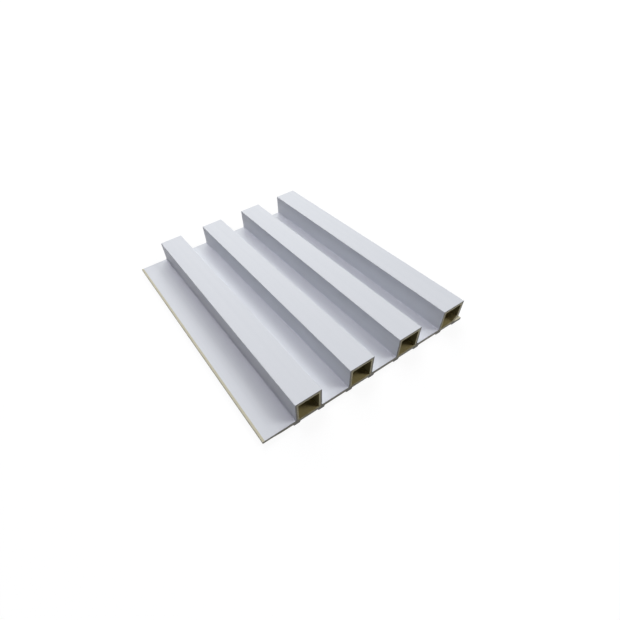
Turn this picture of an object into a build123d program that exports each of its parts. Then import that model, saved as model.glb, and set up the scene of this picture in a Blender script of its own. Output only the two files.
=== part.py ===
from build123d import *
from math import sqrt
import os

# A short length of fluted wall cladding, extruded in one piece from foamed PVC.
# X runs across the ribs, Y along the extrusion, and Z out of the wall towards the room.
# The origin is the bottom centre, so the back feet stand on Z = 0.

# Driving dimensions, mm
panel_length = 202.0
rib_count = 4
rib_pitch = 40.0
rib_width = 19.0
rib_rise = 16.4
sheet_thickness = 2.7
tongue_thickness = 2.0
tongue_reach = 2.5
tongue_ramp = 6.0
side_wall = 2.2
top_wall = 2.4
foot_width = 4.8
foot_drop = 1.4
foot_overhang = 2.0
lip_reach = 4.3
slot_clearance = 0.15
slot_headroom = 0.4
expansion_room = 0.6
slot_web = 1.8
rib_edge_radius = 0.5
rib_root_radius = 1.0
hollow_radius = 0.6
foot_radius = 0.7
foot_root_radius = 0.5
trim_radius = 0.4

# Levels, measured up from the back feet
sheet_bottom = foot_drop
sheet_top = sheet_bottom + sheet_thickness
rib_top = sheet_top + rib_rise
tongue_bottom = sheet_top - tongue_thickness
slot_bottom = tongue_bottom - slot_clearance
slot_top = sheet_top + slot_headroom

# Stations across the panel: each rib is placed by the outer face of its left wall.
# The flange fills the gap before the first rib, and its edge reaches under the panel before it.
flange_width = rib_pitch - rib_width + tongue_reach
overall_width = flange_width + (rib_count - 1) * rib_pitch + rib_width + lip_reach
flange_edge = -overall_width / 2
lip_edge = overall_width / 2
rib_lefts = [flange_edge + flange_width + rib_pitch * index for index in range(rib_count)]
last_left = rib_lefts[-1]
last_right = last_left + rib_width

# The slot under the last rib runs deeper than the next panel's flange edge reaches,
# and the flange is thinned as far in as the lip can come under it, to leave room for heat.
slot_end = last_right - tongue_reach - expansion_room
lip_root = slot_end - side_wall
tongue_root = flange_edge + tongue_reach + lip_reach + expansion_room

# A slanted web shuts the slot off from the last hollow, and is thinnest at the slot's inner corner.
last_wall = last_right - side_wall
web_leg = last_wall - slot_end + slot_headroom + slot_web * sqrt(2)

hollow_width = rib_width - 2 * side_wall
hollow_height = rib_rise - top_wall
foot_cover = foot_width - foot_overhang
corner = (Align.MIN, Align.MIN)
level_tolerance = 0.001


def corners_at(sketch, level):
    """The sketch's corners at one level, from the flange side to the lip side."""
    band = (level - level_tolerance, level + level_tolerance)
    return sketch.vertices().filter_by_position(Axis.Y, *band).sort_by(Axis.X)


with BuildPart() as panel:
    with BuildSketch(Plane.XZ) as section:
        # The face sheet ends inside the last rib, and the ribs stand on it as plain blocks.
        with Locations((flange_edge, sheet_bottom)):
            Rectangle(last_left + side_wall - flange_edge, sheet_thickness, align=corner)
        with Locations(*[(left, sheet_bottom) for left in rib_lefts]):
            Rectangle(rib_width, rib_top - sheet_bottom, align=corner)
        fillet(section.vertices().group_by(Axis.Y)[-1], rib_edge_radius)

        # A cove where each rib rises from the sheet; the first corner is the flange's own edge.
        fillet(corners_at(section, sheet_top)[1:], rib_root_radius)

        # Rounded feet under the rib walls. Under the last wall the lip takes the foot's place,
        # and runs out past the rib at the level of the feet.
        with Locations(*[(left - foot_overhang, 0) for left in rib_lefts]):
            Rectangle(foot_width, sheet_top, align=corner)
        with Locations(*[(left + rib_width - foot_cover, 0) for left in rib_lefts[:-1]]):
            Rectangle(foot_width, sheet_top, align=corner)
        with Locations((lip_root, 0)):
            Rectangle(lip_edge - lip_root, slot_bottom, align=corner)
        fillet(corners_at(section, 0)[:-1], foot_radius)
        fillet(corners_at(section, sheet_bottom)[1:], foot_root_radius)

        # The flange is thinned from below, with a ramp, so that it slides over the next panel's lip.
        Polygon(
            (flange_edge, sheet_bottom),
            (tongue_root + tongue_ramp, sheet_bottom),
            (tongue_root, tongue_bottom),
            (flange_edge, tongue_bottom),
            align=None,
            mode=Mode.SUBTRACT,
        )

        # Each rib is hollow, with the sheet for its floor.
        with Locations(*[(left + rib_width / 2, sheet_top + hollow_height / 2) for left in rib_lefts]):
            RectangleRounded(hollow_width, hollow_height, hollow_radius, mode=Mode.SUBTRACT)

        # The slot under the last rib's right wall, where the next panel's flange slides in,
        # and the web behind it.
        Polygon(
            (last_wall, sheet_top),
            (last_wall, sheet_top + web_leg),
            (last_wall - web_leg, sheet_top),
            align=None,
        )
        with Locations((slot_end, slot_bottom)):
            Rectangle(lip_edge - slot_end, slot_top - slot_bottom, align=corner, mode=Mode.SUBTRACT)

        # The flange edge, the lip and the slot have their sharp corners taken off.
        flange_corners = section.vertices().group_by(Axis.X)[0]
        lip_corners = section.vertices().group_by(Axis.X)[-1]
        slot_corners = corners_at(section, slot_bottom)[:1] + corners_at(section, slot_top)[-2:]
        fillet(flange_corners + lip_corners + slot_corners, trim_radius)
    extrude(amount=panel_length / 2, both=True)

panel.part.label = "cladding_panel"
os.makedirs("parts", exist_ok=True)
export_step(panel.part, "parts/cladding_panel.step")
print(f"cladding panel {overall_width:.1f} x {panel_length:.1f} x {rib_top:.1f} mm")
print(f"volume {panel.part.volume / 1000:.1f} cm3")
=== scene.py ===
# %% [markdown]
# # A fluted cladding panel
# The object is a short sawn length of wall cladding. It is one extrusion of foamed PVC: a thin sheet
# with four hollow box ribs, and a white decor film bonded over the face that shows in the room.
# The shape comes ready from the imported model, so this lesson is about finish: one material that knows
# where the film ends and the bare plastic begins, and a soft studio that shows the ribs off.

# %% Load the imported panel
import math

import bmesh
import bpy
from mathutils import Matrix, Vector


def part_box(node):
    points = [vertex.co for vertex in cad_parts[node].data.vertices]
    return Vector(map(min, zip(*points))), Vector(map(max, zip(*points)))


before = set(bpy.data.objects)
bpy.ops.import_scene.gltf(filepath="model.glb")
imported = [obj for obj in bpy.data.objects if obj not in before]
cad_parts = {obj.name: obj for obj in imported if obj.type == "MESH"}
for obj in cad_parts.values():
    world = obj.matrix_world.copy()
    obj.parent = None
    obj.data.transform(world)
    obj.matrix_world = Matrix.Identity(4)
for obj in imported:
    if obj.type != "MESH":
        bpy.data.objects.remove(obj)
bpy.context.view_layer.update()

MM = 0.001
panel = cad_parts["cladding_panel"]
panel_low, panel_high = (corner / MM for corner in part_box("cladding_panel"))
print("panel box, mm:", [round(value, 2) for value in panel_high - panel_low])

# %% [markdown]
# ## The section that the finish follows
# On the real panel the film is laid on before the length is sawn, so every edge of the white follows
# the section. The same few sizes that drew the section, in millimetres, place the film here.
# The levels are measured down from the rib tops and the stations across from the flange edge.

# %% Sizes of the section, in millimetres
RIB_PITCH = 40.0
RIB_WIDTH = 19.0
RIB_RISE = 16.4
SHEET_THICKNESS = 2.7
FLANGE_WIDTH = 23.5

rib_top = panel_high.z
sheet_top = rib_top - RIB_RISE
sheet_bottom = sheet_top - SHEET_THICKNESS
first_rib = panel_low.x + FLANGE_WIDTH
gap_width = RIB_PITCH - RIB_WIDTH
print("sheet face at", round(sheet_top, 2), "mm, first rib at", round(first_rib, 2), "mm")


# %% [markdown]
# ## Two small helpers
# Colours are picked as screen colours, written in hex, but the renderer works in linear light, so one
# function turns the one into the other. The other helper adds a shader node and wires it in one line,
# which keeps a long node tree readable from top to bottom.

# %% Colour and node helpers
def linear(hex_colour):
    """An sRGB hex colour as linear RGBA."""
    channels = [int(hex_colour[i:i + 2], 16) / 255 for i in (1, 3, 5)]
    return [c / 12.92 if c <= 0.04045 else ((c + 0.055) / 1.055) ** 2.4 for c in channels] + [1.0]


def add_node(tree, kind, inputs=None, output=0, **settings):
    """Adds a node, applies its settings, fills its inputs by name or number, and returns one output."""
    node = tree.nodes.new(kind)
    for name, value in settings.items():
        setattr(node, name, value)
    for key, value in (inputs or {}).items():
        if isinstance(value, bpy.types.NodeSocket):
            tree.links.new(value, node.inputs[key])
        else:
            node.inputs[key].default_value = value
    return node.outputs[output] if node.outputs else node


print("mid grey in linear light:", round(linear("#808080")[0], 3))


# %% [markdown]
# ## How deep a point lies under the film
# A face could be painted by hand, or by material slots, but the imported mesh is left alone. The shader
# can work it out instead: measure how far a point lies below the outer face of the section. On the
# film that depth is nothing, in the hollows and on the back it is a wall thick, and on a sawn end it
# runs from nothing to a wall. One number then sorts film from bare plastic, and skin from core.

# %% Depth below the outer face, as shader maths
def depth_below_face(tree, across, level):
    """Millimetres from the film face into the wall, at a station across and a level up."""
    from_rib = add_node(tree, "ShaderNodeMath", {0: across, 1: first_rib}, operation="SUBTRACT")
    held = add_node(tree, "ShaderNodeMath", {0: from_rib, 1: -gap_width / 2}, operation="MAXIMUM")
    phase = add_node(tree, "ShaderNodeMath", {0: held, 1: RIB_PITCH}, operation="FLOORED_MODULO")
    from_right = add_node(tree, "ShaderNodeMath", {0: RIB_WIDTH, 1: phase}, operation="SUBTRACT")
    under_top = add_node(tree, "ShaderNodeMath", {0: rib_top, 1: level}, operation="SUBTRACT")
    under_sheet = add_node(tree, "ShaderNodeMath", {0: sheet_top, 1: level}, operation="SUBTRACT")
    in_walls = add_node(tree, "ShaderNodeMath", {0: phase, 1: from_right}, operation="MINIMUM")
    in_rib = add_node(tree, "ShaderNodeMath", {0: in_walls, 1: under_top}, operation="MINIMUM")
    return add_node(tree, "ShaderNodeMath", {0: in_rib, 1: under_sheet}, operation="MAXIMUM")


print("channels between the ribs:", gap_width, "mm wide")

# %% [markdown]
# ## White decor film
# The film is calendered PVC, about 0.2 mm thick, with a fine pebble pressed into it so that it does
# not glare. To the eye it is a cool white with a soft, wide sheen, and faint lines along the length
# where it was drawn over the ribs. It stops short of the flange edge, which slides out of sight under
# the next panel. The pebble is really about 0.2 mm and is drawn at 0.5 mm to show.

# %% Film finish
FILM_WHITE = "#DFE1E6"
FILM_SHADE = "#D8DBE1"
FILM_ROUGHNESS = (0.50, 0.62)
FILM_DEPTH = 0.25
FILM_MARGIN = 1.6
PEBBLE_SIZE = 0.5
PEBBLE_HEIGHT = 0.006
DRAW_LINE_SIZE = 3.0
DRAW_LINE_HEIGHT = 0.010


def film_finish(tree, position, along):
    """Colour, roughness and height in millimetres of the white film."""
    pebble = add_node(tree, "ShaderNodeTexNoise",
                      {"Vector": position, "Scale": 1 / PEBBLE_SIZE, "Detail": 2.0})
    lines = add_node(tree, "ShaderNodeTexNoise",
                     {"Vector": along, "Scale": 1 / DRAW_LINE_SIZE, "Detail": 3.0})
    colour = add_node(tree, "ShaderNodeMix", {0: lines, 6: linear(FILM_SHADE), 7: linear(FILM_WHITE)},
                      output=2, data_type="RGBA")
    roughness = add_node(tree, "ShaderNodeMapRange",
                         {"Value": pebble, "To Min": FILM_ROUGHNESS[0], "To Max": FILM_ROUGHNESS[1]})
    fine = add_node(tree, "ShaderNodeMath", {0: pebble, 1: PEBBLE_HEIGHT}, operation="MULTIPLY")
    height = add_node(tree, "ShaderNodeMath", {0: lines, 1: DRAW_LINE_HEIGHT, 2: fine},
                      operation="MULTIPLY_ADD")
    return colour, roughness, height


print("film stops", FILM_MARGIN, "mm short of the flange edge")

# %% [markdown]
# ## Bare extruded PVC
# Inside the ribs, on the back, on the lip and along the flange edge there is no film. Outside, where
# the plastic slid through a cooling sleeve, it is a dull cream. Inside the ribs the colours are painted
# shade: darker than outside, tan on the floor, and a darker olive brown on the walls, which stand deeper
# in shade. The die leaves fine lines along the length, and noise stretched along Y draws them without
# any texture picture.

# %% Bare plastic finish
OUTSIDE_TONES = ("#C2BCA2", "#D2CDB4")
# Painted shade: the inside of the ribs is coloured darker and browner than the outside.
HOLLOW_FLOOR_PAINTED_SHADE = ("#978A57", "#B8A872")
# Painted shade: the walls inside the ribs are coloured darker still than their floor.
HOLLOW_WALL_PAINTED_SHADE = ("#564D2A", "#6A6238")
HOLLOW_FLOOR_TILT = 0.5
BARE_ROUGHNESS = (0.55, 0.75)
DIE_LINE_SIZE = 0.8
DIE_LINE_HEIGHT = 0.03


def bare_finish(tree, across, level, upward, along):
    """Colour, roughness and height in millimetres of the extruded surface without film, with shade
    painted inside the ribs.
    """
    lines = add_node(tree, "ShaderNodeTexNoise",
                     {"Vector": along, "Scale": 1 / DIE_LINE_SIZE, "Detail": 4.0})
    outer, wall_painted_shade, ground = (
        add_node(tree, "ShaderNodeMix", {0: lines, 6: linear(dark), 7: linear(pale)},
                 output=2, data_type="RGBA")
        for dark, pale in (OUTSIDE_TONES, HOLLOW_WALL_PAINTED_SHADE, HOLLOW_FLOOR_PAINTED_SHADE)
    )
    # Painted shade: faces turned up take the floor colour, and side walls take the darker wall shade.
    floor_or_wall_shade = add_node(tree, "ShaderNodeMath", {0: upward, 1: HOLLOW_FLOOR_TILT},
                         operation="GREATER_THAN")
    inside_painted_shade = add_node(tree, "ShaderNodeMix", {0: floor_or_wall_shade, 6: wall_painted_shade, 7: ground},
                     output=2, data_type="RGBA")
    # Painted shade: this mask gives the inside of the ribs its darker colours.
    above_sheet = add_node(tree, "ShaderNodeMath", {0: level, 1: sheet_top - FILM_DEPTH},
                           operation="GREATER_THAN")
    past_flange = add_node(tree, "ShaderNodeMath", {0: across, 1: first_rib}, operation="GREATER_THAN")
    hollow_shade_mask = add_node(tree, "ShaderNodeMath", {0: above_sheet, 1: past_flange}, operation="MULTIPLY")
    colour = add_node(tree, "ShaderNodeMix", {0: hollow_shade_mask, 6: outer, 7: inside_painted_shade},
                      output=2, data_type="RGBA")
    roughness = add_node(tree, "ShaderNodeMapRange",
                         {"Value": lines, "To Min": BARE_ROUGHNESS[0], "To Max": BARE_ROUGHNESS[1]})
    height = add_node(tree, "ShaderNodeMath", {0: lines, 1: DIE_LINE_HEIGHT}, operation="MULTIPLY")
    return colour, roughness, height


print("die lines about", DIE_LINE_SIZE, "mm apart")

# %% [markdown]
# ## Sawn ends
# The saw opens the foam. Where the die's cooled sleeve pressed on it, under the film and on the back,
# lies a dense grey skin about a millimetre thick. Between, and towards the hollows, is the tan core,
# full of small closed cells that the blade has cut open as pits, their bottoms darkened by painted
# shade.
# Cells are a Voronoi pattern, and the teeth leave slanting scratches, which are noise stretched along
# one direction.

# %% Sawn end finish
SKIN_GREY = "#8D8B87"
CORE_TAN = "#BCB596"
# Painted shade: the darker colour at the bottom of each cut cell pit.
PIT_PAINTED_SHADE = "#857E60"
SAWN_ROUGHNESS = (0.75, 0.95)
SKIN_THICKNESS = 1.1
SKIN_BLEND = 0.25
CELL_SIZE = 0.45
CELL_RIM = (0.15, 0.5)
CELL_PIT = 0.12
SAW_SPACING = 0.9
SAW_DEPTH = 0.03
SAW_SLANT = math.radians(24)
SAW_STRETCH = 0.05


def sawn_finish(tree, position, level, depth):
    """Colour, roughness and height in millimetres of a sawn end."""
    cells = add_node(tree, "ShaderNodeTexVoronoi", {"Vector": position, "Scale": 1 / CELL_SIZE})
    slanted = add_node(tree, "ShaderNodeMapping",
                       {"Vector": position, "Rotation": (0, SAW_SLANT, 0), "Scale": (1, 1, SAW_STRETCH)})
    scratches = add_node(tree, "ShaderNodeTexNoise",
                         {"Vector": slanted, "Scale": 1 / SAW_SPACING, "Detail": 2.0})
    # One value both sinks the pits in the bump and paints shade into their bottoms.
    cell_rim_and_pit_shade = add_node(tree, "ShaderNodeMapRange",
                         {"Value": cells, "From Min": CELL_RIM[0], "From Max": CELL_RIM[1]})
    # Painted shade: pit bottoms get the darker colour, and the rims get the core tan.
    core = add_node(tree, "ShaderNodeMix", {0: cell_rim_and_pit_shade, 6: linear(PIT_PAINTED_SHADE), 7: linear(CORE_TAN)},
                    output=2, data_type="RGBA")
    above_back = add_node(tree, "ShaderNodeMath", {0: level, 1: sheet_bottom}, operation="SUBTRACT")
    from_sleeve = add_node(tree, "ShaderNodeMath", {0: depth, 1: above_back}, operation="MINIMUM")
    in_core = add_node(tree, "ShaderNodeMapRange",
                       {"Value": from_sleeve, "From Min": SKIN_THICKNESS - SKIN_BLEND,
                        "From Max": SKIN_THICKNESS + SKIN_BLEND})
    colour = add_node(tree, "ShaderNodeMix", {0: in_core, 6: linear(SKIN_GREY), 7: core},
                      output=2, data_type="RGBA")
    pits = add_node(tree, "ShaderNodeMath", {0: cell_rim_and_pit_shade, 1: CELL_PIT}, operation="MULTIPLY")
    core_pits = add_node(tree, "ShaderNodeMath", {0: pits, 1: in_core}, operation="MULTIPLY")
    height = add_node(tree, "ShaderNodeMath", {0: scratches, 1: SAW_DEPTH, 2: core_pits},
                      operation="MULTIPLY_ADD")
    roughness = add_node(tree, "ShaderNodeMapRange",
                         {"Value": scratches, "To Min": SAWN_ROUGHNESS[0], "To Max": SAWN_ROUGHNESS[1]})
    return colour, roughness, height


print("sawn ends: skin", SKIN_THICKNESS, "mm, cells", CELL_SIZE, "mm")


# %% [markdown]
# ## Choosing between finishes
# Each finish above gives a colour, a roughness and a height. Where a mask says so, one finish gives way
# to another, and all three have to change together, or a sheen would run on past the edge of its
# colour. A new material starts from an empty tree, so that nothing in it is left to chance.

# %% Blending and material helpers
def blend_finish(tree, mask, under, over):
    """One finish where the mask is 0, another where it is 1."""
    colour = add_node(tree, "ShaderNodeMix", {0: mask, 6: under[0], 7: over[0]},
                      output=2, data_type="RGBA")
    roughness = add_node(tree, "ShaderNodeMix", {0: mask, 2: under[1], 3: over[1]})
    height = add_node(tree, "ShaderNodeMix", {0: mask, 2: under[2], 3: over[2]})
    return colour, roughness, height


def new_material(name):
    """An empty material and its node tree."""
    material = bpy.data.materials.new(name)
    material.use_nodes = True
    material.node_tree.nodes.clear()
    print("new material:", name)
    return material, material.node_tree


# %% [markdown]
# ## One material for one piece of stock
# The three finishes meet in a single shader, so that an exporter can bake it. Two masks choose between
# them: a face that looks along the length is a sawn end, and a point less than a quarter of a millimetre
# deep is film. Everything else is bare plastic. Object coordinates carry it all, because they stay with
# the panel wherever it is put.

# %% Assemble the material
LINE_STRETCH = 0.015
END_TILT = 0.7
PVC_IOR = 1.53


def film_faced_foamed_pvc():
    """Foamed PVC profile with a white film on its face."""
    material, tree = new_material("film_faced_foamed_pvc")
    coordinates = add_node(tree, "ShaderNodeTexCoord").node.outputs
    position = add_node(tree, "ShaderNodeVectorMath", {0: coordinates["Object"], "Scale": 1 / MM},
                        operation="SCALE")
    along = add_node(tree, "ShaderNodeMapping", {"Vector": position, "Scale": (1, LINE_STRETCH, 1)})
    point = add_node(tree, "ShaderNodeSeparateXYZ", {0: position}).node.outputs
    facing = add_node(tree, "ShaderNodeSeparateXYZ", {0: coordinates["Normal"]}).node.outputs
    depth = depth_below_face(tree, point["X"], point["Z"])

    end_on = add_node(tree, "ShaderNodeMath", {0: facing["Y"]}, operation="ABSOLUTE")
    is_end = add_node(tree, "ShaderNodeMath", {0: end_on, 1: END_TILT}, operation="GREATER_THAN")
    near_face = add_node(tree, "ShaderNodeMath", {0: depth, 1: FILM_DEPTH}, operation="LESS_THAN")
    past_margin = add_node(tree, "ShaderNodeMath", {0: point["X"], 1: panel_low.x + FILM_MARGIN},
                           operation="GREATER_THAN")
    is_film = add_node(tree, "ShaderNodeMath", {0: near_face, 1: past_margin}, operation="MULTIPLY")

    film = film_finish(tree, position, along)
    bare = bare_finish(tree, point["X"], point["Z"], facing["Z"], along)
    sawn = sawn_finish(tree, position, point["Z"], depth)
    moulded = blend_finish(tree, is_film, bare, film)
    colour, roughness, height = blend_finish(tree, is_end, moulded, sawn)
    bump = add_node(tree, "ShaderNodeBump", {"Height": height, "Strength": 1.0, "Distance": MM})
    shader = add_node(tree, "ShaderNodeBsdfPrincipled",
                      {"Base Color": colour, "Roughness": roughness, "Normal": bump, "IOR": PVC_IOR})
    add_node(tree, "ShaderNodeOutputMaterial", {"Surface": shader})
    return material


panel.data.materials.clear()
panel.data.materials.append(film_faced_foamed_pvc())
print("panel finish has", len(panel.data.materials[0].node_tree.nodes), "nodes")

# %% [markdown]
# ## The studio floor
# The panel lies on a plain pale floor. To the camera the floor is white, which is a matter of its own
# colour and a glow that only the camera and mirror rays see, so it does not light the panel. Close to
# the panel a share of plain matt paint shows through the glow, which keeps the shadow.

# %% Floor
FLOOR_WHITE = "#DCDCDC"
FLOOR_HALF_SIZE = 6.0
FLOOR_GLOW = 1.08
GLOW_NEAR = 0.86
GLOW_EDGE = (0.25, 0.9)


def seen_directly(tree):
    """1 for rays from the camera, in a mirror or through glass, and 0 for rays that carry light."""
    rays = add_node(tree, "ShaderNodeLightPath").node.outputs
    mirrored = add_node(tree, "ShaderNodeMath", {0: rays["Is Camera Ray"], 1: rays["Is Glossy Ray"]},
                        operation="MAXIMUM")
    return add_node(tree, "ShaderNodeMath", {0: mirrored, 1: rays["Is Transmission Ray"]},
                    operation="MAXIMUM")


def floor_paint():
    """Matt white paint that the camera sees as a white ground."""
    material, tree = new_material("matt_white_floor_paint")
    paint = add_node(tree, "ShaderNodeBsdfDiffuse", {"Color": linear(FLOOR_WHITE)})
    glow = add_node(tree, "ShaderNodeEmission", {"Color": linear("#FFFFFF"), "Strength": FLOOR_GLOW})
    place = add_node(tree, "ShaderNodeTexCoord", output="Object")
    away = add_node(tree, "ShaderNodeVectorMath", {0: place}, output="Value", operation="LENGTH")
    share = add_node(tree, "ShaderNodeMapRange",
                     {"Value": away, "From Min": GLOW_EDGE[0], "From Max": GLOW_EDGE[1],
                      "To Min": GLOW_NEAR, "To Max": 1.0}, interpolation_type="SMOOTHSTEP")
    lifted = add_node(tree, "ShaderNodeMixShader", {0: share, 1: paint, 2: glow})
    surface = add_node(tree, "ShaderNodeMixShader", {0: seen_directly(tree), 1: paint, 2: lifted})
    add_node(tree, "ShaderNodeOutputMaterial", {"Surface": surface})
    return material


floor_mesh = bmesh.new()
bmesh.ops.create_grid(floor_mesh, x_segments=1, y_segments=1, size=FLOOR_HALF_SIZE)
floor_data = bpy.data.meshes.new("studio_floor")
floor_mesh.to_mesh(floor_data)
floor_mesh.free()
floor_data.materials.append(floor_paint())
floor = bpy.data.objects.new("studio_floor", floor_data)
bpy.context.scene.collection.objects.link(floor)
print("floor:", 2 * FLOOR_HALF_SIZE, "m square")

# %% [markdown]
# ## Soft light from the right and behind
# The ribs read by their shade: the tops are bright, the walls on the left are in shade, and the floor
# of each channel darkens towards the next rib. That takes one wide soft lamp to the right of the panel
# and behind it, far enough away to be even along the ribs. A small lamp high up lights what the ribs
# shade, and a weak one in front, to the right, looks a little way into the hollows.

# %% Lamps
KEY = {"name": "soft_key", "azimuth": 25, "elevation": 40, "distance": 6.0, "size": 4.8,
       "power": 252.0, "colour": "#FBFFFA"}
OVERHEAD = {"name": "overhead_panel", "azimuth": 337, "elevation": 70, "distance": 0.9, "size": 0.25,
            "power": 2.25, "colour": "#F7F3FF"}
FRONT = {"name": "front_panel", "azimuth": 132, "elevation": 46, "distance": 1.0, "size": 0.3,
         "power": 2.7, "colour": "#FFFFFF"}


def soft_lamp(name, azimuth, elevation, distance, size, power, colour):
    """A square lamp that faces the panel; azimuth runs from +Y towards +X."""
    turn, rise = math.radians(azimuth), math.radians(elevation)
    flat = math.cos(rise)
    toward = Vector((math.sin(turn) * flat, math.cos(turn) * flat, math.sin(rise)))
    data = bpy.data.lights.new(name, "AREA")
    data.shape = "SQUARE"
    data.size = size
    data.energy = power
    data.color = linear(colour)[:3]
    lamp = bpy.data.objects.new(name, data)
    lamp.location = toward * distance
    lamp.rotation_euler = toward.to_track_quat("Z", "Y").to_euler()
    bpy.context.scene.collection.objects.link(lamp)
    print(name, "at", [round(value, 2) for value in lamp.location], "m")


for settings in (KEY, OVERHEAD, FRONT):
    soft_lamp(**settings)

# %% [markdown]
# ## White all round
# A faint even light from all round, a little blue as from the sky, keeps the deepest shade open. The
# camera sees plain white there instead, by the same test as on the floor, so the backdrop can be as
# white as paper without lighting the panel.

# %% World
FILL_COLOUR = "#E6E2FF"
FILL_STRENGTH = 0.03

world = bpy.data.worlds.new("studio_white")
world.use_nodes = True
world_tree = world.node_tree
world_tree.nodes.clear()
fill = add_node(world_tree, "ShaderNodeBackground",
                {"Color": linear(FILL_COLOUR), "Strength": FILL_STRENGTH})
white = add_node(world_tree, "ShaderNodeBackground", {"Color": linear("#FFFFFF"), "Strength": 1.0})
backdrop = add_node(world_tree, "ShaderNodeMixShader", {0: seen_directly(world_tree), 1: fill, 2: white})
add_node(world_tree, "ShaderNodeOutputWorld", {"Surface": backdrop})
bpy.context.scene.world = world
bpy.context.scene.view_settings.view_transform = "Standard"
print("even light from all round:", FILL_STRENGTH)

# %% [markdown]
# ## The camera
# The picture was taken from close by with a wide lens, above the near left corner, so the far ends of
# the ribs shrink quickly. The camera's place and turn were worked out from the straight rib edges.
# A small lens shift stands for the picture having been cut to a square off its middle.

# %% Camera
PICTURE_SIZE = 620
FOCAL_PIXELS = 378.31
OPTICAL_CENTRE = (282.41, 344.17)
FROM_RIB_FOOT = Vector((-56.81, -96.78, 197.41))
CAMERA_AZIMUTH = math.radians(28.864)
CAMERA_ELEVATION = math.radians(48.780)
CAMERA_ROLL = math.radians(-6.414)

rib_foot = Vector((first_rib, panel_low.y, sheet_top))
camera_data = bpy.data.cameras.new("camera")
camera_data.sensor_width = 36.0
camera_data.lens = camera_data.sensor_width * FOCAL_PIXELS / PICTURE_SIZE
camera_data.shift_x = (PICTURE_SIZE / 2 - OPTICAL_CENTRE[0]) / PICTURE_SIZE
camera_data.shift_y = (OPTICAL_CENTRE[1] - PICTURE_SIZE / 2) / PICTURE_SIZE
camera_data.clip_start = 0.01
camera = bpy.data.objects.new("camera", camera_data)
camera.matrix_world = (
    Matrix.Translation((rib_foot + FROM_RIB_FOOT) * MM)
    @ Matrix.Rotation(-CAMERA_AZIMUTH, 4, "Z")
    @ Matrix.Rotation(math.pi / 2 - CAMERA_ELEVATION, 4, "X")
    @ Matrix.Rotation(CAMERA_ROLL, 4, "Z")
)
bpy.context.scene.collection.objects.link(camera)
bpy.context.scene.camera = camera
print("lens", round(camera_data.lens, 2), "mm, shift", round(camera_data.shift_x, 4),
      round(camera_data.shift_y, 4))
